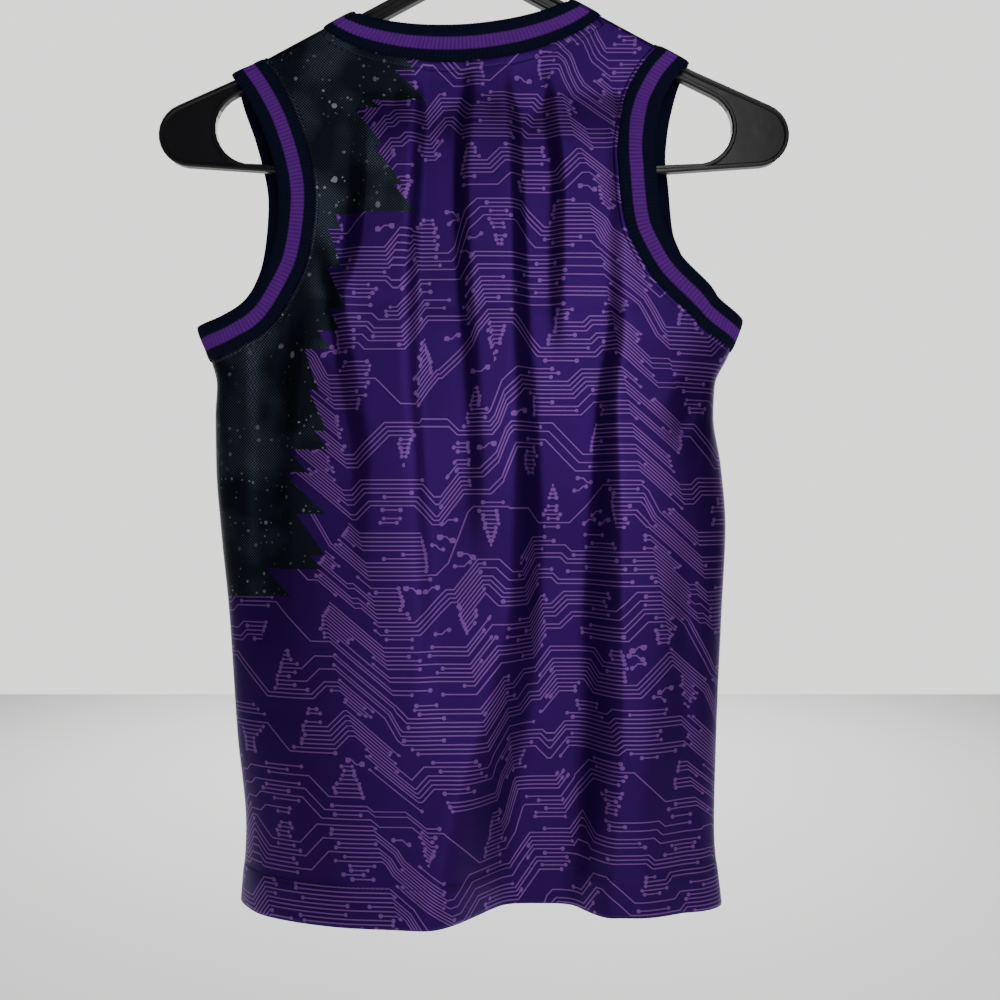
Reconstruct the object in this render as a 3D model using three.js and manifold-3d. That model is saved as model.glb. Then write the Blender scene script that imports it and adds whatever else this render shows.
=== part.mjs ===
// Youth basketball jersey hanging on a moulded plastic hanger, seen from the garment's back.
//
// Millimetres, +Z up, +Y towards the wearer's front and +X towards the wearer's right. The origin
// is the point of the hook that rests on the rail. The jersey is sewn from a back panel, a front
// panel, a striped rib band round the neck and one round each armhole. Front and back are the two
// halves of a flattened tube: each is a depth measured from the plane of the hanger, closed to
// zero along the shoulder ridge and down the side seams, and armholes and neck are cut from it.

import * as THREE from 'three';
import { mergeVertices } from 'three/addons/utils/BufferGeometryUtils.js';
import Module from 'manifold-3d';

const wasm = await Module();
wasm.setup();

// Cloth
const CLOTH = 1.5;
const RIB_THICKNESS = 2.0;
const RIB_WIDTH = 24;
const RIB_TURN = 45;
const HEM_HEIGHT = 25;
const HEM_EXTRA = 0.7;
const HEM_STEP = 8;
const SEAM_GAP = 0.3;
const SHOULDER_LIFT = 1.6;
const SHOULDER_RADIUS = 3.5;
const SHOULDER_FADE = 60;
const THINNEST_DEPTH = 2.2;

// Hanger
const HANGER_DEPTH = 6;
const WEB_DEPTH = 3;
const RIM_WIDTH = 3.2;
const EDGE_ROUND = 0.9;
const HOOK_RADIUS = 2.6;
const HOOK_BEND = 19;

// Top edge of one hanger arm, from the neck to where the round end starts.
const ARM_TOP = [
  { across: 0, height: -52 },
  { across: 55, height: -81.7 },
  { across: 149, height: -132 },
  { across: 240, height: -170 },
];

// Side seams as they hang. Above the underarm the lines only guide the flattened tube.
const SIDES = [
  { height: -60, left: -201, right: 196 },
  { height: -250, left: -200, right: 194 },
  { height: -304, left: -187, right: 180 },
  { height: -324, left: -179, right: 172 },
  { height: -345, left: -173.5, right: 162.5 },
  { height: -366, left: -174.5, right: 161.5 },
  { height: -400, left: -174, right: 166.5 },
  { height: -440, left: -171, right: 169.7 },
  { height: -500, left: -165, right: 167 },
  { height: -580, left: -159.5, right: 163.5 },
  { height: -645, left: -153.5, right: 162 },
  { height: -700, left: -157, right: 167 },
];

// How far each panel stands out from the hanger's plane, halfway across.
const BELLY = [
  { height: -60, back: 5.6, front: 5.6 },
  { height: -105, back: 6.4, front: 6.4 },
  { height: -140, back: 8.5, front: 9 },
  { height: -205, back: 14, front: 14 },
  { height: -300, back: 20, front: 19 },
  { height: -450, back: 26, front: 24 },
  { height: -700, back: 33, front: 28 },
];

// Soft folds. Each starts at its top and runs down to the hem. Pairs are values at those two ends:
// where its middle lies, how wide it is to the left and right, and its depth, negative for a trough.
const BACK_FOLDS = [
  { top: -150, x: [58, 47], left: [22, 51], right: [20, 36], depth: [-3, -30] },
  { top: -330, x: [-130, -112], left: [14, 20], right: [16, 24], depth: [-3, -4] },
  { top: -135, x: [-12, -66], left: [16, 40], right: [18, 36], depth: [1.5, 4] },
  { top: -135, x: [-58, -128], left: [9, 16], right: [9, 18], depth: [-1.8, 2] },
  { top: -180, x: [96, 118], left: [16, 24], right: [16, 26], depth: [1.5, 4] },
];
const FRONT_FOLDS = [
  { top: -215, x: [-38, -60], left: [18, 34], right: [18, 40], depth: [-2, -15] },
  { top: -205, x: [30, 18], left: [20, 34], right: [20, 32], depth: [1, 5] },
  { top: -180, x: [84, 98], left: [16, 26], right: [18, 30], depth: [-1.5, -10] },
];

const FOLD_START = 45;
const FOLD_SHARPNESS = 0.6;

// Armhole seams of the back panel, from the shoulder ridge to the side seam.
const LEFT_ARMHOLE = [
  { x: -141.5, z: -127 },
  { x: -130, z: -143 },
  { x: -117.8, z: -167.4 },
  { x: -106.5, z: -205.5 },
  { x: -105, z: -230.7 },
  { x: -109.9, z: -265.2 },
  { x: -118.4, z: -284.5 },
  { x: -134.4, z: -308.3 },
  { x: -159.6, z: -323.2 },
  { x: -178, z: -328.5 },
];
const RIGHT_ARMHOLE = [
  { x: 124.5, z: -117 },
  { x: 111.5, z: -133 },
  { x: 102, z: -152 },
  { x: 95.5, z: -186.7 },
  { x: 95.9, z: -206 },
  { x: 99.9, z: -243.7 },
  { x: 106.9, z: -260.2 },
  { x: 118.5, z: -278.9 },
  { x: 139.5, z: -299 },
  { x: 152, z: -310 },
  { x: 172.3, z: -321.5 },
];
// The front armholes are cut this much less deep towards the middle.
const FRONT_ARMHOLE_OUT = 15;

// Neck: the seam and the rib's free edge, each a dip below the line between two ridge points.
const NECK_SEAM = { left: -100.8, right: 85, backDip: 28, frontDip: 96 };
const NECK_FREE = { left: -81, right: 65.5, backDip: 14, frontDip: 82 };
const NECK_ROUNDNESS = 0.75;

const HEM_LEFT = -693;
const HEM_RIGHT = -697;

// Spacing of the sections. Close ones carry the cloth over the hanger and round the side seams.
const SHOULDER_SHARES = [0, 0.04, 0.16, 0.38, 0.68, 1];
const NECK_SHARES = [0, 0.0006, 0.003, 0.01, 0.035, 0.09, 0.16, 0.23, 0.3, 0.37, 0.44];
const ARMHOLE_STEPS = [
  0, 0.35, 1.3, 3.2, 7, 15, 28, 46, 66, 88, 110, 132, 152, 172, 190, 206, 219, 229, 236, 240,
];
const BODY_SECTIONS = 13;
const NECK_REACH = 60;
const RIB_STRIPS = 3;

const mix = (a, b, t) => a + (b - a) * t;
const clamp01 = (t) => Math.min(1, Math.max(0, t));
const smooth = (t) => clamp01(t) ** 2 * (3 - 2 * clamp01(t));

// Smooth monotone reading of a table column, whose rows are sorted by falling height.
function column(table, name) {
  const rows = table.map((row) => ({ at: -row.height, value: row[name] }));
  const slopes = rows.slice(1).map((row, i) => (row.value - rows[i].value) / (row.at - rows[i].at));
  const tangents = rows.map((_, i) => {
    const before = slopes[Math.max(i - 1, 0)];
    const after = slopes[Math.min(i, slopes.length - 1)];
    return before * after <= 0 ? 0 : (2 * before * after) / (before + after);
  });
  return (height) => {
    const at = Math.min(Math.max(-height, rows[0].at), rows[rows.length - 1].at);
    const i = Math.max(0, rows.findIndex((row, k) => k > 0 && at <= row.at) - 1);
    const span = rows[i + 1].at - rows[i].at;
    const t = (at - rows[i].at) / span;
    const start = rows[i].value * (1 + 2 * t) * (1 - t) ** 2 + tangents[i] * span * t * (1 - t) ** 2;
    return start + rows[i + 1].value * t * t * (3 - 2 * t) + tangents[i + 1] * span * t * t * (t - 1);
  };
}

const leftSide = column(SIDES, 'left');
const rightSide = column(SIDES, 'right');
const belly = { back: column(BELLY, 'back'), front: column(BELLY, 'front') };
const folds = { back: BACK_FOLDS, front: FRONT_FOLDS };
const facing = { back: -1, front: 1 };

function armTop(x) {
  const across = Math.abs(x);
  const i = Math.max(0, ARM_TOP.findIndex((row, k) => k > 0 && across <= row.across) - 1);
  const [a, b] = [ARM_TOP[i], ARM_TOP[i + 1]];
  return mix(a.height, b.height, (across - a.across) / (b.across - a.across));
}

const ridge = (x) => armTop(x) + SHOULDER_LIFT;

// One fold's depth at a place: flat-bottomed across, with its own width to the left and right.
function foldDepth(fold, x, z) {
  const fall = clamp01((fold.top - z) / (fold.top - HEM_RIGHT));
  const centre = mix(...fold.x, fall);
  const width = x < centre ? mix(...fold.left, fall) : mix(...fold.right, fall);
  const depth = mix(...fold.depth, fall) * smooth((fold.top - z) / FOLD_START + 0.25);
  return depth * Math.exp(-FOLD_SHARPNESS * ((x - centre) / width) ** 4);
}

// Depth of a panel from the hanger's plane at (x, z).
function depthOf(side, x, z) {
  const middle = (leftSide(z) + rightSide(z)) / 2;
  const half = (rightSide(z) - leftSide(z)) / 2;
  const across = Math.sqrt(1 - Math.min(1, Math.abs((x - middle) / half)) ** 3);
  const below = clamp01((ridge(x) - z) / SHOULDER_RADIUS);
  const over = Math.sqrt(1 - (1 - below) ** 2);
  const relief = folds[side].reduce((sum, fold) => sum + foldDepth(fold, x, z), 0);
  const depth = belly[side](z) + relief * smooth((ridge(x) - z) / SHOULDER_FADE);
  return across * over * Math.max(depth, THINNEST_DEPTH);
}

// Point and outward direction of the cloth's middle surface.
function cloth(side, x, z) {
  const h = 0.2;
  const slopeX = (depthOf(side, x + h, z) - depthOf(side, x - h, z)) / (2 * h);
  const slopeZ = (depthOf(side, x, z + h) - depthOf(side, x, z - h)) / (2 * h);
  return {
    point: new THREE.Vector3(x, facing[side] * depthOf(side, x, z), z),
    out: new THREE.Vector3(-slopeX, facing[side], -slopeZ).normalize(),
  };
}

// Armhole seam of one panel as a curve from the shoulder ridge (0) to the side seam (1).
function armholeSeam(side, table) {
  const outwards = Math.sign(table[0].x);
  const points = table.map((row, i) => {
    const share = i / (table.length - 1);
    const shift = side === 'front' ? FRONT_ARMHOLE_OUT * Math.sin(Math.PI * share) ** 0.8 : 0;
    return new THREE.Vector3(row.x + outwards * shift, 0, row.z);
  });
  points[0].z = ridge(points[0].x);
  const last = points[points.length - 1];
  last.x = outwards < 0 ? leftSide(last.z) : rightSide(last.z);
  return new THREE.CatmullRomCurve3(points, false, 'centripetal');
}

const armholes = { left: LEFT_ARMHOLE, right: RIGHT_ARMHOLE };
const ARMHOLE_SHARES = ARMHOLE_STEPS.map((step) => step / ARMHOLE_STEPS[ARMHOLE_STEPS.length - 1]);

// Seam and free edge of an armhole rib at each station of one panel. The band lies square to its
// seam, and turns to follow the shoulder ridge at one end and the side seam at the other.
function armholeEdges(side, arm) {
  const curve = armholeSeam(side, armholes[arm]);
  const length = curve.getLength();
  const outwards = arm === 'left' ? -1 : 1;
  const sideLine = arm === 'left' ? leftSide : rightSide;
  return ARMHOLE_SHARES.map((share) => {
    const seam = curve.getPointAt(share);
    const run = curve.getTangentAt(share);
    const towardsArm = new THREE.Vector3(-outwards * run.z, 0, outwards * run.x);
    const free = seam.clone().addScaledVector(towardsArm, RIB_WIDTH);
    const onRidge = ridge(free.x) - (ridge(seam.x) - seam.z);
    free.z = mix(onRidge, free.z, smooth((share * length) / RIB_TURN));
    const onSide = sideLine(free.z) - (sideLine(seam.z) - seam.x);
    free.x = mix(onSide, free.x, smooth(((1 - share) * length) / RIB_TURN));
    return { seam, free };
  });
}

function neckLine(line, side, share) {
  const x = mix(line.left, line.right, share);
  const level = mix(ridge(line.left), ridge(line.right), share);
  const dip = side === 'back' ? line.backDip : line.frontDip;
  return new THREE.Vector3(x, 0, level - dip * (4 * share * (1 - share)) ** NECK_ROUNDNESS);
}

const neckShares = [...NECK_SHARES, 0.5, ...NECK_SHARES.map((share) => 1 - share).reverse()];

// Seam and free edge of the neck rib at each station of one panel.
function neckEdges(side) {
  return neckShares.map((share) => {
    const seam = neckLine(NECK_SEAM, side, share);
    const free = neckLine(NECK_FREE, side, share);
    const onRidge = ridge(free.x) - (ridge(seam.x) - seam.z);
    free.z = mix(onRidge, free.z, smooth((share * (1 - share)) / 0.035));
    return { seam, free };
  });
}

// Closed solid from two matching grids of points, the outer and the inner face of a wall.
function solidFromGrids(outer, inner, loop) {
  const rows = outer.length;
  const columns = outer[0].length;
  const points = [...outer.flat(), ...inner.flat()];
  const at = (face, i, j) => (face * rows + (i % rows)) * columns + j;
  const triangles = [];
  const quad = (a, b, c, d) => triangles.push(a, b, c, a, c, d);
  const lastRow = loop ? rows : rows - 1;
  for (let i = 0; i < lastRow; i += 1) {
    for (let j = 0; j < columns - 1; j += 1) {
      quad(at(0, i, j), at(0, i + 1, j), at(0, i + 1, j + 1), at(0, i, j + 1));
      quad(at(1, i, j), at(1, i, j + 1), at(1, i + 1, j + 1), at(1, i + 1, j));
    }
    quad(at(0, i, 0), at(1, i, 0), at(1, i + 1, 0), at(0, i + 1, 0));
    quad(at(0, i, columns - 1), at(0, i + 1, columns - 1), at(1, i + 1, columns - 1), at(1, i, columns - 1));
  }
  if (!loop) {
    for (let j = 0; j < columns - 1; j += 1) {
      quad(at(0, 0, j), at(0, 0, j + 1), at(1, 0, j + 1), at(1, 0, j));
      quad(at(0, rows - 1, j), at(1, rows - 1, j), at(1, rows - 1, j + 1), at(0, rows - 1, j + 1));
    }
  }
  const geometry = new THREE.BufferGeometry();
  geometry.setAttribute('position', new THREE.Float32BufferAttribute(points.flatMap((p) => p.toArray()), 3));
  geometry.setIndex(triangles);
  return facingOut(geometry);
}

// Turns every face of a closed geometry outwards.
function facingOut(geometry) {
  const p = geometry.getAttribute('position');
  const index = geometry.getIndex().array;
  const [a, b, c] = [new THREE.Vector3(), new THREE.Vector3(), new THREE.Vector3()];
  let volume = 0;
  for (let i = 0; i < index.length; i += 3) {
    a.fromBufferAttribute(p, index[i]);
    b.fromBufferAttribute(p, index[i + 1]);
    c.fromBufferAttribute(p, index[i + 2]);
    volume += a.dot(b.cross(c));
  }
  if (volume < 0) {
    for (let i = 0; i < index.length; i += 3) [index[i + 1], index[i + 2]] = [index[i + 2], index[i + 1]];
  }
  geometry.computeVertexNormals();
  return geometry;
}

// Front or back panel: a grid stretched between the shoulders and neck, the two sides and the hem.
function panel(side) {
  const seams = { left: armholeEdges(side, 'left'), right: armholeEdges(side, 'right') };
  const edge = (arm, sideLine, hem) => {
    const armhole = seams[arm].map((station) => station.seam);
    const underarm = armhole[armhole.length - 1];
    const below = Array.from({ length: BODY_SECTIONS }, (_, i) => {
      const z = mix(underarm.z, hem, (i + 1) / BODY_SECTIONS);
      return new THREE.Vector3(sideLine(z), 0, z);
    });
    return [...armhole, ...below];
  };
  const left = edge('left', leftSide, HEM_LEFT);
  const right = edge('right', rightSide, HEM_RIGHT);
  const neckFrom = (NECK_SEAM.left - left[0].x) / (right[0].x - left[0].x);
  const neckTo = (NECK_SEAM.right - left[0].x) / (right[0].x - left[0].x);
  const across = [
    ...SHOULDER_SHARES.slice(0, -1).map((share) => share * neckFrom),
    ...neckShares.map((share) => mix(neckFrom, neckTo, share)),
    ...SHOULDER_SHARES.slice(0, -1).reverse().map((share) => 1 - share * (1 - neckTo)),
  ];
  const top = across.map((share) => {
    const x = mix(left[0].x, right[0].x, share);
    const inNeck = share > neckFrom && share < neckTo;
    return inNeck
      ? neckLine(NECK_SEAM, side, (share - neckFrom) / (neckTo - neckFrom))
      : new THREE.Vector3(x, 0, ridge(x));
  });
  const fullDrop = (left[0].z - left[left.length - 1].z + right[0].z - right[right.length - 1].z) / 2;
  const grid = left.map((leftPoint, i) => {
    const rightPoint = right[i];
    const drop = (left[0].z - leftPoint.z + right[0].z - rightPoint.z) / 2;
    const fallen = drop / fullDrop;
    // Close under the neck the columns run straight down. Further down they follow both edges.
    const settled = smooth(drop / NECK_REACH);
    return across.map((share, j) => {
      const leftPull = mix(clamp01(1 - share / neckFrom), 1 - share, settled);
      const rightPull = mix(clamp01((share - neckTo) / (1 - neckTo)), share, settled);
      const x = top[j].x + leftPull * (leftPoint.x - left[0].x) + rightPull * (rightPoint.x - right[0].x);
      const straightTop = mix(left[0].z, right[0].z, share);
      const z = mix(leftPoint.z, rightPoint.z, share) + (1 - fallen) * (top[j].z - straightTop);
      return cloth(side, x, z);
    });
  });
  const clear = (p) => {
    p.y = facing[side] * Math.max(facing[side] * p.y, SEAM_GAP / 2);
    return p;
  };
  const hemExtra = (z) => HEM_EXTRA * smooth((HEM_LEFT + HEM_HEIGHT + HEM_STEP - z) / HEM_STEP);
  const outer = grid.map((row) => row.map(({ point, out }) => (
    clear(point.clone().addScaledVector(out, CLOTH / 2 + hemExtra(point.z))))));
  const inner = grid.map((row) => row.map(({ point, out }) => (
    clear(point.clone().addScaledVector(out, -CLOTH / 2)))));
  return solidFromGrids(outer, inner, false);
}

// Rib band: a closed loop of stations, back then front, each a strip from its seam to its free edge.
// It starts one seam gap away from the panel, measured square to the seam.
function ribBand(backEdges, frontEdges) {
  const loop = [
    ...backEdges.map((station) => ({ side: 'back', ...station })),
    ...frontEdges.slice(1, -1).reverse().map((station) => ({ side: 'front', ...station })),
  ];
  const section = ({ side, seam, free }, i) => {
    const onMiddle = i === 0 || i === backEdges.length - 1;
    const run = loop[(i + 1) % loop.length].seam.clone().sub(loop.at(i - 1).seam);
    const slant = onMiddle ? 1 : Math.sin(run.angleTo(free.clone().sub(seam)));
    const start = SEAM_GAP / slant / seam.distanceTo(free);
    return Array.from({ length: RIB_STRIPS + 1 }, (_, k) => {
      const share = mix(start, 1, k / RIB_STRIPS);
      const spot = cloth(side, mix(seam.x, free.x, share), mix(seam.z, free.z, share));
      if (onMiddle) {
        spot.point.y = 0;
        spot.out.setY(0).normalize();
      }
      return spot;
    });
  };
  const stations = loop.map(section);
  const moved = (spot, away) => spot.point.clone().addScaledVector(spot.out, away);
  const face = (away) => stations.map((row) => row.map((spot) => moved(spot, away)));
  return solidFromGrids(face(RIB_THICKNESS - CLOTH / 2), face(-CLOTH / 2), true);
}

// Outline of the hanger's frame and of the opening inside it. An inset is measured square to an
// edge, and on the sloping arms it lowers the edge by that much times the arm's slant.
const END = { across: 192.4, height: -175, radius: 21.6 };
const OPENING_END = { across: 151, height: -170.6, radius: 24.4 };
const ARM_HEIGHT = 11.5;
const ARM_SLANT = 1.14;
const NECK_BOSS = { half: 7, top: -47, foot: -55.5 };
const BAR = { bottom: -202.5, height: 5.4 };

// Whole outline from its right half, which runs from the top down, turned anticlockwise.
function mirrored(half) {
  return [...half, ...half.slice().reverse().map(([x, z]) => [-x, z])].reverse();
}

function arc(centre, from, to, steps) {
  return Array.from({ length: steps + 1 }, (_, i) => {
    const angle = THREE.MathUtils.degToRad(mix(from, to, i / steps));
    return [centre.across + centre.radius * Math.cos(angle), centre.height + centre.radius * Math.sin(angle)];
  });
}

function frameOutline(inset) {
  const end = { ...END, radius: END.radius - inset };
  return mirrored([
    [NECK_BOSS.half - inset, NECK_BOSS.top - inset],
    [NECK_BOSS.half - inset, NECK_BOSS.foot - inset],
    [55, armTop(55) - inset * ARM_SLANT],
    [149, armTop(149) - inset * ARM_SLANT],
    ...arc(end, 67, -84, 12),
    [126, BAR.bottom + 1.3 + inset],
    [40, BAR.bottom + inset],
  ]);
}

function openingOutline(outset) {
  const end = { ...OPENING_END, radius: OPENING_END.radius + outset };
  return mirrored([
    [6, armTop(6) - ARM_HEIGHT + outset * ARM_SLANT],
    [60, armTop(60) - ARM_HEIGHT + outset * ARM_SLANT],
    [126, armTop(126) - ARM_HEIGHT + outset * ARM_SLANT],
    ...arc(end, 66, -80, 12),
    [110, BAR.bottom + BAR.height + 0.6 - outset],
    [40, BAR.bottom + BAR.height - outset],
  ]);
}

const path = (points, Kind) => new Kind(points.map(([x, z]) => new THREE.Vector2(x, z)));

function asSolid(geometry) {
  const bare = geometry.clone();
  bare.deleteAttribute('normal');
  bare.deleteAttribute('uv');
  const merged = mergeVertices(bare, 1e-4);
  return new wasm.Manifold(new wasm.Mesh({
    numProp: 3,
    vertProperties: new Float32Array(merged.getAttribute('position').array),
    triVerts: new Uint32Array(merged.getIndex().array),
  }));
}

function asGeometry(solid) {
  const mesh = solid.getMesh();
  const geometry = new THREE.BufferGeometry();
  geometry.setAttribute('position', new THREE.BufferAttribute(new Float32Array(mesh.vertProperties), 3));
  geometry.setIndex(new THREE.BufferAttribute(new Uint32Array(mesh.triVerts), 1));
  geometry.computeVertexNormals();
  return geometry;
}

// Plate between an outline and a hole, standing in the hanger's plane and centred on it.
function plate(outline, hole, depth, round) {
  const shape = path(outline, THREE.Shape);
  shape.holes.push(path(hole, THREE.Path));
  const geometry = new THREE.ExtrudeGeometry(shape, {
    depth: depth - 2 * round,
    bevelEnabled: round > 0,
    bevelThickness: round,
    bevelSize: round,
    bevelOffset: -round,
    bevelSegments: 1,
  });
  geometry.translate(0, 0, -(depth - 2 * round) / 2);
  geometry.rotateX(Math.PI / 2);
  return asSolid(geometry);
}

// Moulded frame: a thin web with a raised rim round its outside and round its opening.
function hangerFrame() {
  const web = plate(frameOutline(EDGE_ROUND), openingOutline(EDGE_ROUND), WEB_DEPTH, 0);
  const outerRim = plate(frameOutline(0), frameOutline(RIM_WIDTH), HANGER_DEPTH, EDGE_ROUND);
  const innerRim = plate(openingOutline(RIM_WIDTH), openingOutline(0), HANGER_DEPTH, EDGE_ROUND);
  return asGeometry(web.add(outerRim).add(innerRim));
}

// Hook: a round rod that rises from the neck boss and bends over the rail.
function hangerHook() {
  const centre = -HOOK_BEND + HOOK_RADIUS;
  const bend = Array.from({ length: 11 }, (_, i) => {
    const angle = THREE.MathUtils.degToRad(mix(-38, 196, i / 10));
    return new THREE.Vector3(HOOK_BEND * Math.cos(angle), 0, centre + HOOK_BEND * Math.sin(angle));
  });
  const foot = NECK_BOSS.top + SEAM_GAP;
  const route = new THREE.CatmullRomCurve3([
    new THREE.Vector3(0, 0, foot),
    new THREE.Vector3(0, 0, foot + 5),
    new THREE.Vector3(5.5, 0, foot + 12.5),
    ...bend,
  ]);
  const section = new THREE.Shape();
  section.absarc(0, 0, HOOK_RADIUS, 0, 2 * Math.PI, false);
  const geometry = new THREE.ExtrudeGeometry(section, { steps: 36, curveSegments: 5, extrudePath: route });
  return asGeometry(asSolid(geometry));
}

const purpleCloth = new THREE.MeshStandardMaterial({ color: 0x35146e, roughness: 0.5, metalness: 0 });
const blackRib = new THREE.MeshStandardMaterial({ color: 0x0b0a12, roughness: 0.9, metalness: 0 });
const blackPlastic = new THREE.MeshStandardMaterial({ color: 0x0d0d0f, roughness: 0.25, metalness: 0 });

const jersey = new THREE.Group();

function addPiece(name, geometry, material) {
  const mesh = new THREE.Mesh(geometry, material);
  mesh.name = name;
  jersey.add(mesh);
}

addPiece('back_panel', panel('back'), purpleCloth);
addPiece('front_panel', panel('front'), purpleCloth);
addPiece('neck_rib', ribBand(neckEdges('back'), neckEdges('front')), blackRib);
for (const arm of ['left', 'right']) {
  addPiece(`armhole_rib_${arm}`, ribBand(armholeEdges('back', arm), armholeEdges('front', arm)), blackRib);
}
addPiece('hanger_frame', hangerFrame(), blackPlastic);
addPiece('hanger_hook', hangerHook(), blackPlastic);

export default jersey;
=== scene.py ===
# Youth basketball jersey on a moulded plastic hanger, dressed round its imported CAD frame.
#
# Tables and lengths are in millimetres and are scaled by MM when they become a mesh. +Z is up, +Y
# points towards the wearer's front and +X towards the wearer's right, as in the frame.

import bisect
import math

import bmesh
import bpy
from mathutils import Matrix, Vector, kdtree, noise


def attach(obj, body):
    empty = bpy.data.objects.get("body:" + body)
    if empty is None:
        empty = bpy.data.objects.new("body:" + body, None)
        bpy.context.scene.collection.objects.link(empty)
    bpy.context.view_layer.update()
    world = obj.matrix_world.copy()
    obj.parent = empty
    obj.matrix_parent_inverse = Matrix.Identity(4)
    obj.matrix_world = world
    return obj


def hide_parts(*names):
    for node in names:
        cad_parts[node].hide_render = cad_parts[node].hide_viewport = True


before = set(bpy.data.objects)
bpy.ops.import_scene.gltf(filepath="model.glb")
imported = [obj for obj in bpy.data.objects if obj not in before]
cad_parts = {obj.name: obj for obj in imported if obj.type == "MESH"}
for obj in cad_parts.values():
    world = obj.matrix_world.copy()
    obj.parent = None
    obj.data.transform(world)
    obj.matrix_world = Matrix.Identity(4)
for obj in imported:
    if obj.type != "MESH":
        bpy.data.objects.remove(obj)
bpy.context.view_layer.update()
MM = 0.001


# Camera: a phone held a little over half a metre from the garment's back, level with its middle.
# The lens is the photograph's, so that cloth near the camera looks as large as it does there.
CAMERA_PLACE = (0.0177, -0.56, -0.423)
CAMERA_LENS = 29.6
CAMERA_SENSOR = 36.0

camera_data = bpy.data.cameras.new("camera")
camera_data.sensor_width = CAMERA_SENSOR
camera_data.lens = CAMERA_LENS
camera_data.clip_start = 0.01
camera = bpy.data.objects.new("camera", camera_data)
camera.location = CAMERA_PLACE
camera.rotation_euler = (math.radians(90), 0, 0)
bpy.context.scene.collection.objects.link(camera)
bpy.context.scene.camera = camera


# Body panels: two pieces of satin polyester double knit, sewn together at the sides and shoulders.
# Each hangs as one half of a flattened tube. Its depth from the hanger's plane is a broad belly,
# closed along the shoulders and sides, with the long soft folds and finer creases added to it.
CLOTH = 1.5
SEAM_GAP = 0.02
HEM_HEIGHT = 25
HEM_EXTRA = 0.5
HEM_EASE = 2.5
SHOULDER_LIFT = 1.6
SHOULDER_RADIUS = 3.5
SHOULDER_FADE = 60
THINNEST_DEPTH = 2.2
EASED_DEPTH = 9
HANGER_BOTTOM = -204
HANGER_CLEAR = 3.6
HEM_LEFT = -693
HEM_RIGHT = -697
BELOW_HEM = 720
RIPPLE_DEPTH = 0.9
RIPPLE_ACROSS = 34
RIPPLE_DOWN = 60

# Pairs of a distance from the middle and the height of the hanger's arms there.
ARM_TOP = [(0, -52), (55, -81.7), (149, -132), (240, -170)]
# Heights, with the garment's left and right side there.
SIDES = [
    (-60, -201, 196),
    (-250, -200, 194),
    (-304, -187, 180),
    (-324, -179, 172),
    (-345, -173.5, 162.5),
    (-366, -174.5, 161.5),
    (-400, -174, 166.5),
    (-440, -171, 169.7),
    (-500, -165, 167),
    (-580, -159.5, 163.5),
    (-645, -153.5, 162),
    (-700, -157, 167),
]
# Heights, with the depth of the back and of the front there.
BELLY = [
    (-60, 5.6, 5.6),
    (-105, 6.4, 6.4),
    (-140, 8.5, 9),
    (-205, 14, 14),
    (-300, 20, 19),
    (-450, 26, 24),
    (-700, 33, 28),
]

# The back's folds are steps in its depth: each has a steep wall between two flatter strips. Rows
# hold a height, and the step's x, width and rise there. The rise is negative where the cloth to the
# right of the step lies further in.
STEPS = [
    [
        (-560, -150, 26, 0),
        (-640, -150, 24, 5),
        (-697, -148, 24, 9),
    ],
    [
        (-300, -150, 12, 0),
        (-335, -148, 12, -4),
        (-450, -147, 13, -4),
        (-520, -148, 16, 0),
    ],
    [
        (-296, -114, 14, 0),
        (-335, -119, 14, 6),
        (-420, -124, 14, 7),
        (-470, -127, 16, 6),
        (-530, -126, 24, 2),
        (-600, -120, 36, 2),
        (-695, -116, 40, 0),
    ],
    [
        (-150, -80, 14, 0),
        (-190, -76, 14, 5),
        (-245, -78, 14, 5),
        (-300, -90, 16, 5),
        (-340, -82, 15, 4.5),
        (-400, -72, 14, 3.4),
        (-480, -73, 16, 0),
    ],
    [
        (-124, -34, 11, 0),
        (-154, -35, 12, -6),
        (-272, -40, 13, -6.5),
        (-335, -39, 13, -6.2),
        (-390, -35, 13, -5.6),
        (-508, -30, 15, -4),
        (-590, -28, 20, 0),
    ],
    [
        (-124, -3, 10, 0),
        (-154, -5, 11, 6),
        (-215, -8, 12, 6.5),
        (-272, -6, 12, 6.2),
        (-335, -1, 12, 5.4),
        (-400, 2, 13, 4.2),
        (-470, 2, 14, 0),
    ],
    [
        (-124, 22, 11, 0),
        (-154, 26, 12, -6),
        (-215, 29, 13, -7.5),
        (-272, 31, 14, -8.5),
        (-315, 32, 16, -9.5),
        (-360, 35, 19, -12),
        (-420, 36, 24, -15.5),
        (-490, 35, 28, -19),
        (-555, 27, 44, -28),
        (-620, 14, 58, -38),
        (-697, 4, 74, -46),
    ],
    [
        (-124, 47, 10, 0),
        (-154, 50, 12, 5.4),
        (-215, 56, 13, 6),
        (-290, 55, 13, 5),
        (-340, 58, 15, 0),
    ],
    [
        (-150, 84, 14, 0),
        (-200, 94, 13, 3.6),
        (-250, 94, 13, 4.4),
        (-301, 94, 14, 7.5),
        (-360, 88, 17, 12),
        (-420, 87, 22, 18),
        (-490, 85, 28, 24),
        (-555, 84, 32, 28),
        (-620, 80, 34, 31),
        (-697, 72, 40, 28),
    ],
]

# The front's soft folds run from their top to the hem. Pairs are values at those two ends: where
# the middle lies, the width to its left and right, and the depth, which is negative for a trough.
FRONT_FOLDS = [
    {"top": -215, "x": (-38, -60), "left": (18, 34), "right": (18, 40), "depth": (-2, -15)},
    {"top": -205, "x": (30, 18), "left": (20, 34), "right": (20, 32), "depth": (1, 5)},
    {"top": -180, "x": (84, 98), "left": (16, 26), "right": (18, 30), "depth": (-1.5, -10)},
]

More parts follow.
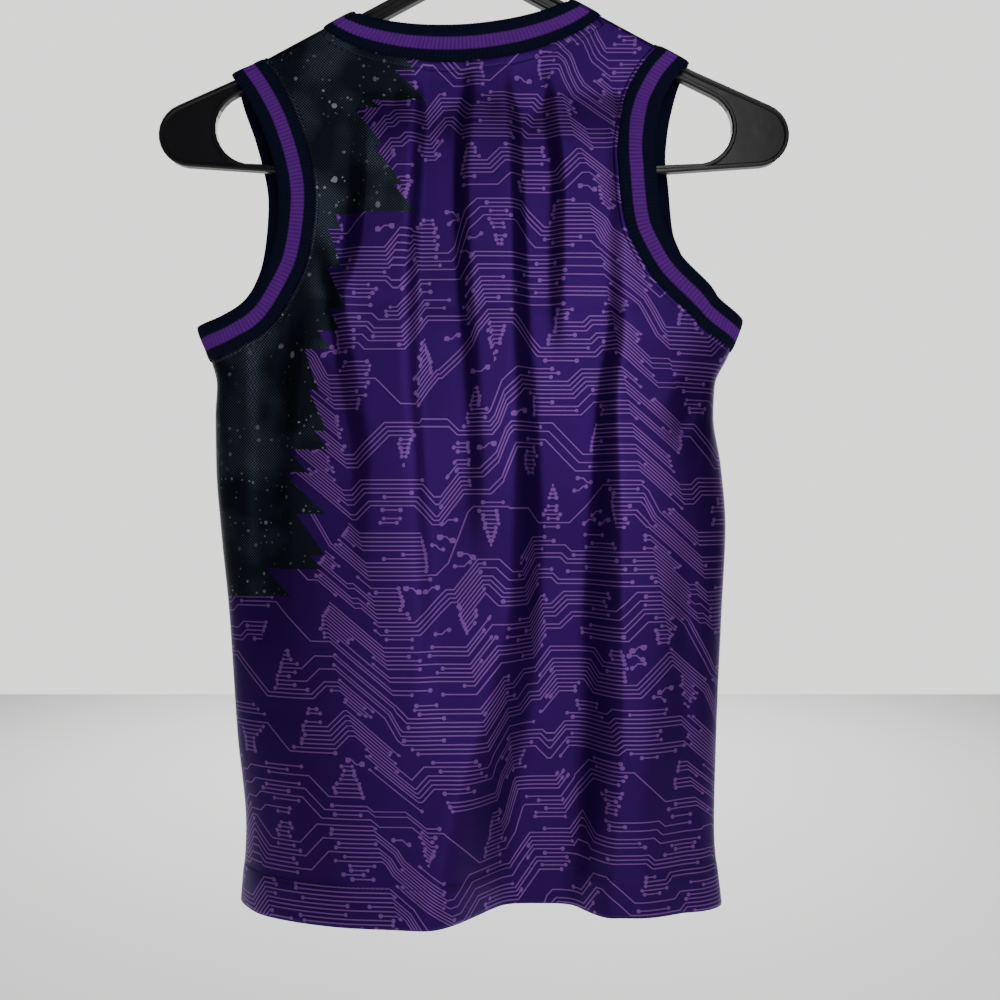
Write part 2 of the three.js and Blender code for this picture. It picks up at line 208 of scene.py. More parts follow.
# Finer creases: heights of the two ends, x at the top, halfway and at the bottom, width, and depth.
CREASES = {
    "back": [
        ((-124, -170), (-50, -52, -54), 4, -1.6),
        ((-126, -178), (-20, -20, -21), 4, -1.5),
        ((-126, -172), (10, 11, 12), 4, -1.5),
        ((-124, -180), (37, 39, 41), 4, -1.6),
        ((-120, -168), (64, 67, 70), 4, -1.4),
        ((-520, -900), (112, 112, 114), 12, 2.0),
        ((-440, -900), (142, 140, 140), 10, -2.6),
        ((-225, -320), (-106, -92, -76), 7, 2.4),
        ((-248, -345), (-104, -94, -84), 6, -2.3),
        ((-118, -200), (92, 99, 104), 6, -2.0),
        ((-322, -392), (157, 146, 128), 6, -2.6),
        ((-318, -372), (146, 133, 118), 6, 2.2),
        ((-338, -420), (163, 158, 150), 5, 2.0),
        ((-330, -405), (-166, -158, -148), 6, -2.4),
        ((-335, -420), (-172, -166, -160), 5, 1.8),
    ],
    "front": [
        ((-210, -480), (-14, -16, -22), 10, -3.5),
        ((-215, -520), (8, 10, 16), 11, 3.2),
        ((-190, -420), (-62, -70, -84), 10, 3.5),
        ((-180, -430), (54, 60, 70), 10, -3.2),
        ((-300, -560), (122, 126, 120), 14, 4.1),
        ((-320, -540), (-120, -118, -112), 12, -4.3),
        ((-330, -480), (-146, -144, -140), 10, 2.9),
        ((-560, -700), (60, 64, 70), 12, 2.9),
        ((-322, -392), (157, 146, 128), 6, -2.6),
        ((-330, -405), (-166, -158, -148), 6, -2.6),
    ],
}

# Places (x, z) on the back's armhole seams, from the shoulder to the side.
ARMHOLES = {
    "left": [
        (-141.5, -127),
        (-130, -143),
        (-117.8, -167.4),
        (-106.5, -205.5),
        (-105, -230.7),
        (-109.9, -265.2),
        (-118.4, -284.5),
        (-134.4, -308.3),
        (-159.6, -323.2),
        (-178, -328.5),
    ],
    "right": [
        (124.5, -117),
        (111.5, -133),
        (102, -152),
        (95.5, -186.7),
        (95.9, -206),
        (99.9, -243.7),
        (106.9, -260.2),
        (118.5, -278.9),
        (139.5, -299),
        (152, -310),
        (172.3, -321.5),
    ],
}
FRONT_ARMHOLE_OUT = 15
FRONT_ARMHOLE_ROUNDNESS = 0.8
NECK_SEAM = {"left": -100.8, "right": 85, "back": 28, "front": 96}
NECK_FREE = {"left": -81, "right": 65.5, "back": 14, "front": 82}
NECK_ROUNDNESS = 0.75
FACING = {"back": -1, "front": 1}
OUTWARDS = {"left": -1, "right": 1}


def mix(a, b, t):
    return a + (b - a) * t


def clamp(t, low=0.0, high=1.0):
    return min(max(t, low), high)


def smooth(t):
    t = clamp(t)
    return t * t * (3 - 2 * t)


def column(table, number):
    """Smooth monotone reading of one of a table's columns by its first column, the height."""
    at = [-row[0] for row in table]
    value = [row[number] for row in table]
    slopes = [(value[i + 1] - value[i]) / (at[i + 1] - at[i]) for i in range(len(at) - 1)]
    tangents = []
    for i in range(len(at)):
        before, after = slopes[max(i - 1, 0)], slopes[min(i, len(slopes) - 1)]
        tangents.append(0 if before * after <= 0 else 2 * before * after / (before + after))

    def read(height):
        depth = clamp(-height, at[0], at[-1])
        i = next(k for k in range(len(at) - 1) if depth <= at[k + 1])
        span = at[i + 1] - at[i]
        t = (depth - at[i]) / span
        start = value[i] * (1 + 2 * t) * (1 - t) ** 2 + tangents[i] * span * t * (1 - t) ** 2
        return start + value[i + 1] * t * t * (3 - 2 * t) + tangents[i + 1] * span * t * t * (t - 1)

    return read


side_line = {arm: column(SIDES, number) for number, arm in enumerate(OUTWARDS, 1)}
belly = {side: column(BELLY, number) for number, side in enumerate(FACING, 1)}


def ridge(x):
    """Height of the cloth along the shoulders, just over the hanger's arms."""
    last = len(ARM_TOP) - 2
    i = next((k for k in range(last) if abs(x) <= ARM_TOP[k + 1][0]), last)
    (near, start), (far, end) = ARM_TOP[i : i + 2]
    return mix(start, end, (abs(x) - near) / (far - near)) + SHOULDER_LIFT


def by_millimetre(step):
    """A step's place, width and rise at every millimetre of height below the origin."""
    place, width, rise = (column(step, number) for number in (1, 2, 3))
    return [(place(-z), width(-z), rise(-z)) for z in range(BELOW_HEM)]


step_readings = [by_millimetre(step) for step in STEPS]


def steps_depth(x, z):
    """The sum of the back's steps. Each is smooth over its width and full to its right."""
    level = clamp(-z, 0, BELOW_HEM - 2)
    low = int(level)
    total = 0
    for reading in step_readings:
        place, width, rise = (mix(a, b, level - low) for a, b in zip(reading[low], reading[low + 1]))
        if rise:
            total += rise * smooth((x - place) / width + 0.5)
    return total


def fold_depth(fold, x, z):
    """One of the front's folds: flat along its middle, and fading in over its first 45 mm."""
    fall = clamp((fold["top"] - z) / (fold["top"] - HEM_RIGHT))
    centre = mix(*fold["x"], fall)
    width = mix(*fold["left"], fall) if x < centre else mix(*fold["right"], fall)
    depth = mix(*fold["depth"], fall) * smooth((fold["top"] - z) / 45 + 0.25)
    return depth * math.exp(-0.6 * ((x - centre) / width) ** 4)


def crease_depth(crease, x, z):
    """One crease along its curved middle line, which fades at both ends."""
    (top, bottom), (start, middle, end), width, depth = crease
    t = (top - z) / (top - bottom)
    if t <= 0 or t >= 1:
        return 0
    centre = start * (1 - t) * (1 - 2 * t) + middle * 4 * t * (1 - t) + end * t * (2 * t - 1)
    away = (x - centre) / width
    if abs(away) > 2.6:
        return 0
    strength = smooth((top - z) / 60) * smooth((1 - t) / 0.35)
    return depth * strength * math.exp(-away * away)


def eased(depth):
    """Keeps a deep fold on its own side of the garment, with a rounded bottom."""
    room = EASED_DEPTH - THINNEST_DEPTH
    return max(depth, THINNEST_DEPTH + room * math.exp(min(0, depth - EASED_DEPTH) / room))


def relief_of(side, x, z):
    """How far folds, creases and a slight ripple move the cloth out, or in where negative."""
    relief = steps_depth(x, z) if side == "back" else sum(fold_depth(fold, x, z) for fold in FRONT_FOLDS)
    relief += sum(crease_depth(crease, x, z) for crease in CREASES[side])
    spot = Vector((x / RIPPLE_ACROSS, FACING[side] * 3, z / RIPPLE_DOWN))
    return relief + RIPPLE_DEPTH * noise.noise(spot)


def depth_of(side, x, z):
    """Distance of the cloth's middle surface from the hanger's plane."""
    left, right = side_line["left"](z), side_line["right"](z)
    from_middle = abs((x - (left + right) / 2) / ((right - left) / 2))
    across = math.sqrt(1 - min(1, from_middle) ** 3)
    below = clamp((ridge(x) - z) / SHOULDER_RADIUS)
    over = math.sqrt(1 - (1 - below) ** 2)
    depth = belly[side](z) + relief_of(side, x, z) * smooth((ridge(x) - z) / SHOULDER_FADE)
    if z > HANGER_BOTTOM:
        depth = max(depth, CLOTH + HANGER_CLEAR)
    return across * over * eased(depth)


def inner_point(side, x, z):
    """A point of the cloth's inner surface, which stops just short of the seam's plane."""
    inner = max(depth_of(side, x, z) - CLOTH / 2, SEAM_GAP / 2)
    return Vector((x, FACING[side] * inner, z))


class SmoothLine:
    """A centripetal curve through points (x, z), read by its share of the length."""

    def __init__(self, points, steps=40):
        ends = [2 * points[0] - points[1], *points, 2 * points[-1] - points[-2]]
        self.points = [points[0]]
        for p0, p1, p2, p3 in zip(ends, ends[1:], ends[2:], ends[3:]):
            d0, d1, d2 = (math.sqrt((b - a).length) for a, b in ((p0, p1), (p1, p2), (p2, p3)))
            m1 = ((p1 - p0) / d0 - (p2 - p0) / (d0 + d1) + (p2 - p1) / d1) * d1
            m2 = ((p2 - p1) / d1 - (p3 - p1) / (d1 + d2) + (p3 - p2) / d2) * d1
            for k in range(1, steps + 1):
                t = k / steps
                near = p1 * (1 + 2 * t) * (1 - t) ** 2 + m1 * t * (1 - t) ** 2
                self.points.append(near + p2 * t * t * (3 - 2 * t) + m2 * t * t * (t - 1))
        self.reach = [0.0]
        for a, b in zip(self.points, self.points[1:]):
            self.reach.append(self.reach[-1] + (b - a).length)
        self.length = self.reach[-1]

    def at(self, share):
        goal = clamp(share) * self.length
        low, high = 0, len(self.reach) - 1
        while high - low > 1:
            middle = (low + high) // 2
            low, high = (middle, high) if self.reach[middle] <= goal else (low, middle)
        span = self.reach[high] - self.reach[low]
        return self.points[low].lerp(self.points[high], (goal - self.reach[low]) / span)

    def run(self, share):
        step = 0.5 / self.length
        return (self.at(share + step) - self.at(share - step)).normalized()


def armhole_seam(side, arm):
    """The seam from the shoulder to the side. The front's lies further out along its middle."""
    last = len(ARMHOLES[arm]) - 1
    points = []
    for i, (x, z) in enumerate(ARMHOLES[arm]):
        bulge = 0
        if side == "front" and i < last:
            bulge = FRONT_ARMHOLE_OUT * math.sin(math.pi * i / last) ** FRONT_ARMHOLE_ROUNDNESS
        points.append(Vector((x + OUTWARDS[arm] * bulge, z)))
    points[0].y = ridge(points[0].x)
    points[-1].x = side_line[arm](points[-1].y)
    return SmoothLine(points)


seams = {(side, arm): armhole_seam(side, arm) for side in FACING for arm in ARMHOLES}


def neck_line(line, side, share, roundness=NECK_ROUNDNESS):
    x = mix(line["left"], line["right"], share)
    level = mix(ridge(line["left"]), ridge(line["right"]), share)
    return Vector((x, level - line[side] * (4 * share * (1 - share)) ** roundness))


SHOULDER_COLUMNS = 18
SHOULDER_CROWDING = 1.8
NECK_COLUMNS = 124
NECK_CROWDING = 0.72
ARMHOLE_ROWS = 84
ARMHOLE_CROWDING = 0.75
BODY_ROWS = 126
NECK_REACH = {"back": 60, "front": 120}
SOFT_REACH = {"back": 84, "front": 190}
SHAPE_REACH = 280
SOFTEST_ROUNDNESS = 1.6


def panel_edge(side, arm, row):
    """A row's end: down the armhole's seam, crowded towards the underarm, then down the side."""
    seam = seams[side, arm]
    if row <= ARMHOLE_ROWS:
        share = row / ARMHOLE_ROWS
        return seam.at(mix(share, share * share * (2 - share), ARMHOLE_CROWDING))
    hem = HEM_LEFT if arm == "left" else HEM_RIGHT
    z = mix(seam.points[-1].y, hem, (row - ARMHOLE_ROWS) / BODY_ROWS)
    return Vector((side_line[arm](z), z))


def panel_outline(side):
    """Rows of (x, z) that stretch between the shoulders and neck, the two sides and the hem."""
    rows = ARMHOLE_ROWS + BODY_ROWS
    left = [panel_edge(side, "left", row) for row in range(rows + 1)]
    right = [panel_edge(side, "right", row) for row in range(rows + 1)]
    shoulder_left, shoulder_right = left[0].x, right[0].x
    width = shoulder_right - shoulder_left
    neck_from = (NECK_SEAM["left"] - shoulder_left) / width
    neck_to = (NECK_SEAM["right"] - shoulder_left) / width
    crowded = [(k / SHOULDER_COLUMNS) ** SHOULDER_CROWDING for k in range(SHOULDER_COLUMNS)]
    shares = [neck_from * share for share in crowded]
    for k in range(NECK_COLUMNS + 1):
        turn = 2 * math.pi * k / NECK_COLUMNS
        spread = k / NECK_COLUMNS - NECK_CROWDING * math.sin(turn) / (2 * math.pi)
        shares.append(mix(neck_from, neck_to, spread))
    shares += [1 - (1 - neck_to) * share for share in crowded][::-1]
    grid = []
    for a, b in zip(left, right):
        drop = (left[0].y - a.y + right[0].y - b.y) / 2
        settled = smooth(drop / NECK_REACH[side])
        softness = mix(NECK_ROUNDNESS, SOFTEST_ROUNDNESS, smooth(drop / SOFT_REACH[side]))
        shape_left = 1 - smooth(drop / SHAPE_REACH)
        line = []
        for share in shares:
            start = Vector((mix(shoulder_left, shoulder_right, share), 0))
            along_neck = (share - neck_from) / (neck_to - neck_from)
            if 0 < along_neck < 1:
                start.y = neck_line(NECK_SEAM, side, along_neck, softness).y
            else:
                start.y = ridge(start.x)
            left_pull = mix(clamp(1 - share / neck_from), 1 - share, settled)
            right_pull = mix(clamp((share - neck_to) / (1 - neck_to)), share, settled)
            x = start.x + left_pull * (a.x - left[0].x) + right_pull * (b.x - right[0].x)
            straight_top = mix(left[0].y, right[0].y, share)
            line.append((x, mix(a.y, b.y, share) + shape_left * (start.y - straight_top)))
        grid.append(line)
    return grid


def cloth_sheet(points, flat, turned):
    """A sheet through a table of points, with the flat cloth's coordinates as its UV map."""
    rows, columns = len(points) - 1, len(points[0]) - 1
    sheet = bmesh.new()
    bmesh.ops.create_grid(sheet, x_segments=columns, y_segments=rows, size=1)
    places = {}
    for vertex in sheet.verts:
        j = round((vertex.co.x + 1) / 2 * columns)
        i = round((1 - vertex.co.y) / 2 * rows)
        places[vertex] = (i, j)
        vertex.co = points[i][j]
    uv = sheet.loops.layers.uv.new("cloth")
    for face in sheet.faces:
        face.smooth = True
        for corner in face.loops:
            i, j = places[corner.vert]
            corner[uv].uv = flat[i][j]
    if turned:
        bmesh.ops.reverse_faces(sheet, faces=sheet.faces)
    sheet.normal_update()
    return sheet


def finished(name, sheet):
    """Turns a bmesh in millimetres into an object of the scene."""
    bmesh.ops.scale(sheet, vec=(MM, MM, MM), verts=sheet.verts)
    mesh = bpy.data.meshes.new(name)
    sheet.to_mesh(mesh)
    sheet.free()
    piece = bpy.data.objects.new(name, mesh)
    bpy.context.scene.collection.objects.link(piece)
    return piece


def wall(piece, thickness):
    """Gives a sheet its thickness outwards. Its inner side takes the second material."""
    solid = piece.modifiers.new("wall", "SOLIDIFY")
    solid.thickness = thickness * MM
    solid.offset = 1
    solid.material_offset = 1
    solid.use_even_offset = False
    solid.use_quality_normals = True


def panel(side):
    """A panel as hung, with the lengths along its folded rows as the flat cloth's widths."""
    outline = panel_outline(side)
    points = []
    flat = []
    for line in outline:
        row = [inner_point(side, x, z) for x, z in line]
        middle = len(row) // 2
        along = [0.0] * len(row)
        along[middle] = row[middle].x
        gaps = [math.hypot(b.x - a.x, b.y - a.y) for a, b in zip(row, row[1:])]
        for j in range(middle, len(gaps)):
            along[j + 1] = along[j] + gaps[j]
        for j in range(middle, 0, -1):
            along[j - 1] = along[j] - gaps[j - 1]
        points.append(row)
        flat.append([(u * MM, point.z * MM) for u, point in zip(along, row)])
    sheet = cloth_sheet(points, flat, side == "front")
    hem_top = (HEM_LEFT + HEM_RIGHT) / 2 + HEM_HEIGHT
    for vertex in sheet.verts:
        in_hem = smooth((hem_top - vertex.co.z) / HEM_EASE + 0.5)
        fuller = vertex.normal * HEM_EXTRA * in_hem
        if abs(vertex.co.y) < SEAM_GAP:
            fuller.y = 0
        vertex.co += fuller
    cut_places[side] = [spot for row in flat for spot in row]
    nearest_cut[side] = kdtree.KDTree(len(cut_places[side]))
    for number, point in enumerate(point for row in points for point in row):
        nearest_cut[side].insert((point.x, 0, point.z), number)
    nearest_cut[side].balance()
    return finished(f"{side}_cloth", sheet)


cut_places = {}
nearest_cut = {}
panels = {side: panel(side) for side in FACING}
PANEL_CUT = {"back": (0.372, 0.628, 0.181), "front": (0.375, 0.619, 0.173)}
for side, piece in panels.items():
    wall(piece, CLOTH)
    width, length, area = PANEL_CUT[side]
    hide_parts(f"{side}_panel")
    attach(piece, "root")


# Printed cloth: deep violet satin with a repeat of thin lilac traces, and a black block over the
# left shoulder and side with a zigzag edge, a fine pale mesh and scattered specks. Both are printed
# on the cloth, so they are colour, and the knit under them is a fine relief.
def operation(kind):
    """A method that adds a math node of this kind, with the wire as its first value."""

    def method(self, *others):
        values = dict(enumerate([self, *others]))
        return self.finish.add("ShaderNodeMath", {"operation": kind}, values)

    return method


class Wire:
    """An output of a node that takes part in sums, products and comparisons."""

    def __init__(self, finish, socket):
        self.finish = finish
        self.socket = socket

    __add__ = __radd__ = operation("ADD")
    __sub__ = operation("SUBTRACT")
    __mul__ = __rmul__ = operation("MULTIPLY")
    __truediv__ = operation("DIVIDE")
    floor = operation("FLOOR")
    fraction = operation("FRACT")
    size = operation("ABSOLUTE")
    root = operation("SQRT")
    sine = operation("SINE")
    least = operation("MINIMUM")
    most = operation("MAXIMUM")
    above = operation("GREATER_THAN")
    below = operation("LESS_THAN")

    def __rsub__(self, other):
        return self * -1 + other

    def unit(self):
        return self.least(1).most(0)


class Finish:
    """A material made from Python expressions."""

    def __init__(self, name):
        self.material = bpy.data.materials.new(name)
        self.material.use_nodes = True
        self.tree = self.material.node_tree
        self.shader = self.tree.nodes["Principled BSDF"]

    def add(self, kind, settings=None, values=None, output=0):
        """Adds a node. Its settings are set first, then its sockets get their values or links."""
        node = self.tree.nodes.new(kind)
        for name, value in (settings or {}).items():
            setattr(node, name, value)
        for key, value in (values or {}).items():
            if isinstance(value, Wire):
                self.tree.links.new(value.socket, node.inputs[key])
            else:
                node.inputs[key].default_value = value
        return Wire(self, node.outputs[output])

    def vector(self, x, y, z=0.0):
        return self.add("ShaderNodeCombineXYZ", None, {0: x, 1: y, 2: z})

    def parts(self, vector):
        return [self.add("ShaderNodeSeparateXYZ", None, {0: vector}, k) for k in range(3)]

    def flat(self):
        """The flat cloth's coordinates in millimetres."""
        place = self.add("ShaderNodeUVMap", {"uv_map": "cloth"})
        across, up, _ = self.parts(place)
        return across / MM, up / MM

    def chance(self, x, y, z):
        """A fixed random number for whole numbers x, y and z."""
        place = {"Vector": self.vector(x, y, z)}
        return self.add("ShaderNodeTexWhiteNoise", {"noise_dimensions": "3D"}, place)

    def cloudy(self, x, y, scale, detail=2.0):
        noise_values = {"Vector": self.vector(x, y), "Scale": scale, "Detail": detail}
        return self.add("ShaderNodeTexNoise", {"noise_dimensions": "2D"}, noise_values)

    def blend(self, share, first, second):
        """A colour between two others."""
        return self.add("ShaderNodeMix", {"data_type": "RGBA"}, {0: share, 6: first, 7: second}, 2)

    def relief(self, height, distance, strength=1.0):
        bump = {"Height": height, "Distance": distance, "Strength": strength}
        return self.add("ShaderNodeBump", None, bump)

    def set(self, **values):
        for name, value in values.items():
            socket = self.shader.inputs[name.replace("_", " ")]
            if isinstance(value, Wire):
                self.tree.links.new(value.socket, socket)
            else:
                socket.default_value = value
        return self.material


TRACE_PITCH = 2.75
TRACE_WIDTH = 0.66
TRACE_SOFT = 0.24
PAD_RADIUS = 0.98
PAD_SPREAD = 0.4
ROW_HEIGHT = 37.0
ROW_EDGE = ROW_HEIGHT / 2 - 1.4
CELL_WIDTH = 47.0
LEVELS = 7
LEVEL_STEP = 1.5 * TRACE_PITCH
LANE_MISSING = 0.1
LANE_BROKEN = 0.26
END_SPARE = 1.5
CELL_SPARE = 3
NEAR_TRACE = 1.7
BEND = math.tan(math.radians(22.5))
SWEEP_LENGTH = 236.0
SWEEP_LEAN = 0.22
SWEEPS = [
    {"start": 30, "run": 34, "way": 1},
    {"start": 118, "run": 20, "way": -1},
    {"start": 166, "run": 14, "way": -1},
]
DASH_WIDTH = 12.5
DASH_HEIGHT = 2 * TRACE_PITCH
DASH_MISSING = 0.3
DASH_PAD_RADIUS = 1.2
DASH_PAD_SPREAD = 0.95

VIOLET = (0.046, 0.0046, 0.150, 1)
DEEP_VIOLET = (0.0130, 0.0009, 0.058, 1)
LILAC = (0.275, 0.100, 0.450, 1)
BLOCK_BLACK = (0.0050, 0.0068, 0.0140, 1)
MESH_GREY = (0.078, 0.100, 0.140, 1)
MESH_TURNS = 2 * math.pi / 1.95
SPECK_GREY = (0.36, 0.37, 0.40, 1)
INSIDE_DARK = (0.045, 0.018, 0.16, 1)
INSIDE_LIGHT = (0.075, 0.032, 0.235, 1)
INSIDE_STITCH = (0.03, 0.012, 0.11, 1)
KNIT_PITCH = 1.15


def sweep(across, up):
    """How far the whole print is moved up here, and the slope of that move: 0, 1 or -1."""
    place = ((across + up * SWEEP_LEAN) / SWEEP_LENGTH).fraction() * SWEEP_LENGTH
    lift, slope = 0, 0
    for part in SWEEPS:
        done = (place - part["start"]).most(0).least(part["run"])
        rising = done.above(0.001) * done.below(part["run"] - 0.001)
        lift = done * part["way"] + lift
        slope = rising * part["way"] + slope
    return lift, slope


def trace_flow(finish, across, up):
    """Bundles of parallel lines that run level and step up or down at 45 degrees, row by row."""
    row = (up / ROW_HEIGHT).floor()
    height = up - (row + 0.5) * ROW_HEIGHT
    shifted = across + finish.chance(row, 0.0, 11.0) * CELL_WIDTH
    cell = (shifted / CELL_WIDTH).floor()
    along = shifted - (cell + 0.5) * CELL_WIDTH

    def level(number):
        return ((finish.chance(number, row, 3.0) * LEVELS).floor() - LEVELS // 2) * LEVEL_STEP

    before, after = level(cell), level(cell + 1)
    step = after - before
    turn = step.above(-0.001) * 2 - 1
    rise = step.size()
    raised = turn * (height - before)
    ramp = (raised - along - rise * 0.5) / math.sqrt(2)
    offset = raised.least(ramp.most(raised - rise))
    flow = {"row": row, "cell": cell, "along": along, "before": before, "after": after}
    return flow | {"turn": turn, "rise": rise, "place": turn * offset, "ramp": ramp, "offset": offset}


def dot_mask(distance, radius):
    """1 within a radius, with a soft edge."""
    return (1 - (distance - radius) / TRACE_SOFT).unit()


def long_traces(finish, across, up):
    """The bundles' lines, broken here and there with a round pad at each end."""
    lift, slope = sweep(across, up)
    flow = trace_flow(finish, across, up + lift)
    row, cell, along, turn, place = (flow[key] for key in ("row", "cell", "along", "turn", "place"))
    lane = (place / TRACE_PITCH + 0.5).floor()
    middle = lane * TRACE_PITCH
    away = place - middle
    start = flow["rise"] * -0.5 - turn * middle * BEND
    end = start + flow["rise"]

    def lot(number, kind):
        return finish.chance(lane + number * 37, row * 17 + number, kind)

    first = (flow["before"] + middle).size().below(ROW_EDGE) * lot(cell, 5.0).above(LANE_MISSING)
    second = (flow["after"] + middle).size().below(ROW_EDGE) * lot(cell + 1, 5.0).above(LANE_MISSING)
    joined = first * second * lot(cell, 6.0).above(LANE_BROKEN)
    room = CELL_WIDTH / 2 - CELL_SPARE
    first_end = start - END_SPARE - lot(cell, 7.0) * (start + room).most(0) * 0.85
    second_end = end + END_SPARE + lot(cell + 1, 8.0) * (room - end).most(0) * 0.85
    shown = (joined + first * along.below(first_end) + second * along.above(second_end)).unit()
    on_ramp = (flow["offset"] - flow["ramp"]).size().below(0.0001)
    steepness = turn * on_ramp - slope
    distance = away.size() * (on_ramp * (math.sqrt(2) - 1) + 1) / (steepness * steepness + 1).root()
    lines = shown * dot_mask(distance, TRACE_WIDTH / 2)

    def pad(present, at, kind):
        reach = along - at
        height = away - slope * reach
        radius = lot(cell, kind) * PAD_SPREAD + PAD_RADIUS
        return present * (1 - joined) * dot_mask((reach * reach + height * height).root(), radius)

    pads = pad(first, first_end, 21.0).most(pad(second, second_end, 23.0))
    near = shown * (1 - distance / NEAR_TRACE).unit()
    return lines.most(pads), near


def open_ground(finish, across, up):
    """1 where a row's bundle has moved away and left the ground open."""
    flow = trace_flow(finish, across, up)
    limit = ROW_EDGE - TRACE_PITCH * 0.1
    free_before = (flow["before"] + flow["place"]).size().above(limit)
    free_after = (flow["after"] + flow["place"]).size().above(limit)
    start = flow["rise"] * -0.5 - flow["place"] * BEND
    on_left = flow["along"].below(start)
    on_right = flow["along"].above(start + flow["rise"])
    between = (1 - on_left) * (1 - on_right)
    return (free_before * on_left).most(free_after * on_right).most(free_before.most(free_after) * between)


def short_traces(finish, across, up):
    """Short stepped lines with a pad at each end, on the open ground."""
    line = (up / DASH_HEIGHT).floor()
    shifted = across + finish.chance(line, 0.0, 31.0) * DASH_WIDTH
    cell = (shifted / DASH_WIDTH).floor()
    x = shifted - (cell + 0.5) * DASH_WIDTH
    y = up - (line + 0.5) * DASH_HEIGHT
    lift, _ = sweep(across - x, up - y)
    free = 1
    for side in (-1, 1):
        for end in (-1, 1):
            beside = across - x + side * DASH_WIDTH * 0.38
            above = up - y + end * TRACE_PITCH * 0.9 + lift
            free = open_ground(finish, beside, above) * free
    turn = finish.chance(cell, line, 32.0).above(0.5) * 2 - 1
    half = (finish.chance(cell, line, 33.0) * 0.12 + 0.28) * DASH_WIDTH
    limit = TRACE_PITCH / 2
    bent = turn * (x + (finish.chance(cell, line, 34.0) - 0.5) * 5)
    step = bent.most(-limit).least(limit)
    sloping = step.size().below(limit - 0.001)
    height = y - step
    distance = height.size() * (1 - sloping * (1 - math.sqrt(0.5)))
    lines = x.size().below(half) * dot_mask(distance, TRACE_WIDTH / 2)
    reach = x.size() - half
    radius = finish.chance(cell, line, 35.0) * DASH_PAD_SPREAD + DASH_PAD_RADIUS
    pads = dot_mask((reach * reach + height * height).root(), radius)
    return lines.most(pads) * free * finish.chance(cell, line, 36.0).above(DASH_MISSING)


BLOCK_TOP = -118.0
BLOCK_BOTTOM = -487.0
BLOCK_EDGE = (-78.0, -150.0)
TEETH = [
    {"height": 78.0, "reach": 46.0, "seed": 45.0},
    {"height": 27.0, "reach": 15.0, "seed": 42.0},
]


def black_block(finish, across, up):
    """1 on the block: left of a slanting edge with uneven teeth, and above its lower end."""
    fall = (BLOCK_TOP - up) / (BLOCK_TOP - BLOCK_BOTTOM)
    edge = BLOCK_EDGE[0] + fall * (BLOCK_EDGE[1] - BLOCK_EDGE[0])
    for tooth in TEETH:
        number = up / tooth["height"]
        reach = (finish.chance(number.floor(), 0.0, tooth["seed"]) + 0.35) * tooth["reach"]
        edge = edge + (1 - number.fraction()) * reach
    return (edge - across + 0.5).unit() * (up - BLOCK_BOTTOM + 0.5).unit()


def specks(finish, across, up, size, share, seed):
    """Round specks of many sizes in cells of one size, where a slow cloud lets them be."""
    column_number, line = (across / size).floor(), (up / size).floor()
    x = across - (column_number + 0.5) * size
    y = up - (line + 0.5) * size

    def lot(kind):
        return finish.chance(column_number, line, seed + kind)

    dx = x + (lot(1.0) - 0.5) * size * 0.5
    dy = y + (lot(2.0) - 0.5) * size * 0.5
    squash = 0.7 + lot(3.0) * 0.7
    distance = (dx * dx * squash + dy * dy / squash).root()
    radius = 0.25 + lot(4.0) * lot(5.0) * size * 0.2
    return dot_mask(distance, radius) * lot(6.0).below(share) * (0.35 + lot(7.0) * 0.65)


def knit_grain(across, up):
    """A fine grid of stitches."""
    turns = 2 * math.pi / KNIT_PITCH
    return (across * turns).sine() * (up * turns * 0.8).sine()


def printed_cloth():
    """The outside: satin yarn that shines in its own colour, with the print over it."""
    finish = Finish("printed cloth")
    across, up = finish.flat()
    traces, near = long_traces(finish, across, up)
    traces = traces.most(short_traces(finish, across, up))
    shade = finish.cloudy(across, up, 0.012)
    ground = finish.blend(near * 0.6 + shade * 0.3, VIOLET, DEEP_VIOLET)
    print_colour = finish.blend(traces * 0.9, ground, LILAC)
    mesh = ((across * MESH_TURNS).sine() * (up * MESH_TURNS).sine() * 2 + 0.4).unit()
    patches = ((finish.cloudy(across, up, 0.022) - 0.42) * 5).unit()
    dust = specks(finish, across, up, 9.0, 0.34, 50.0).most(specks(finish, across, up, 4.2, 0.16, 70.0))
    dust = dust * ((finish.cloudy(across + 300, up, 0.03) - 0.4) * 6).unit()
    block_colour = finish.blend(mesh * (0.25 + patches * 0.75), BLOCK_BLACK, MESH_GREY)
    block_colour = finish.blend(dust, block_colour, SPECK_GREY)
    block = black_block(finish, across, up)
    colour = finish.blend(block, print_colour, block_colour)
    grain = knit_grain(across, up)
    finish.set(
        Base_Color=colour,
        Roughness=0.38 + traces * 0.06 + grain * 0.03,
        Metallic=0.82,
        Normal=finish.relief(grain, 0.00006),
        Specular_IOR_Level=0.2,
    )
    return finish.material


def cloth_inside():
    """The inside: the plain, duller face of the knit."""
    finish = Finish("cloth inside")
    across, up = finish.flat()
    grain = knit_grain(across, up)
    colour = finish.blend(finish.cloudy(across, up, 0.03), INSIDE_DARK, INSIDE_LIGHT)
    finish.set(
        Base_Color=finish.blend(grain * 0.25 + 0.25, colour, INSIDE_STITCH),
        Roughness=0.8,
        Normal=finish.relief(grain, 0.00015),
    )
    return finish.material


printed = printed_cloth()
inside = cloth_inside()
for piece in panels.values():
    piece.data.materials.append(printed)
    piece.data.materials.append(inside)


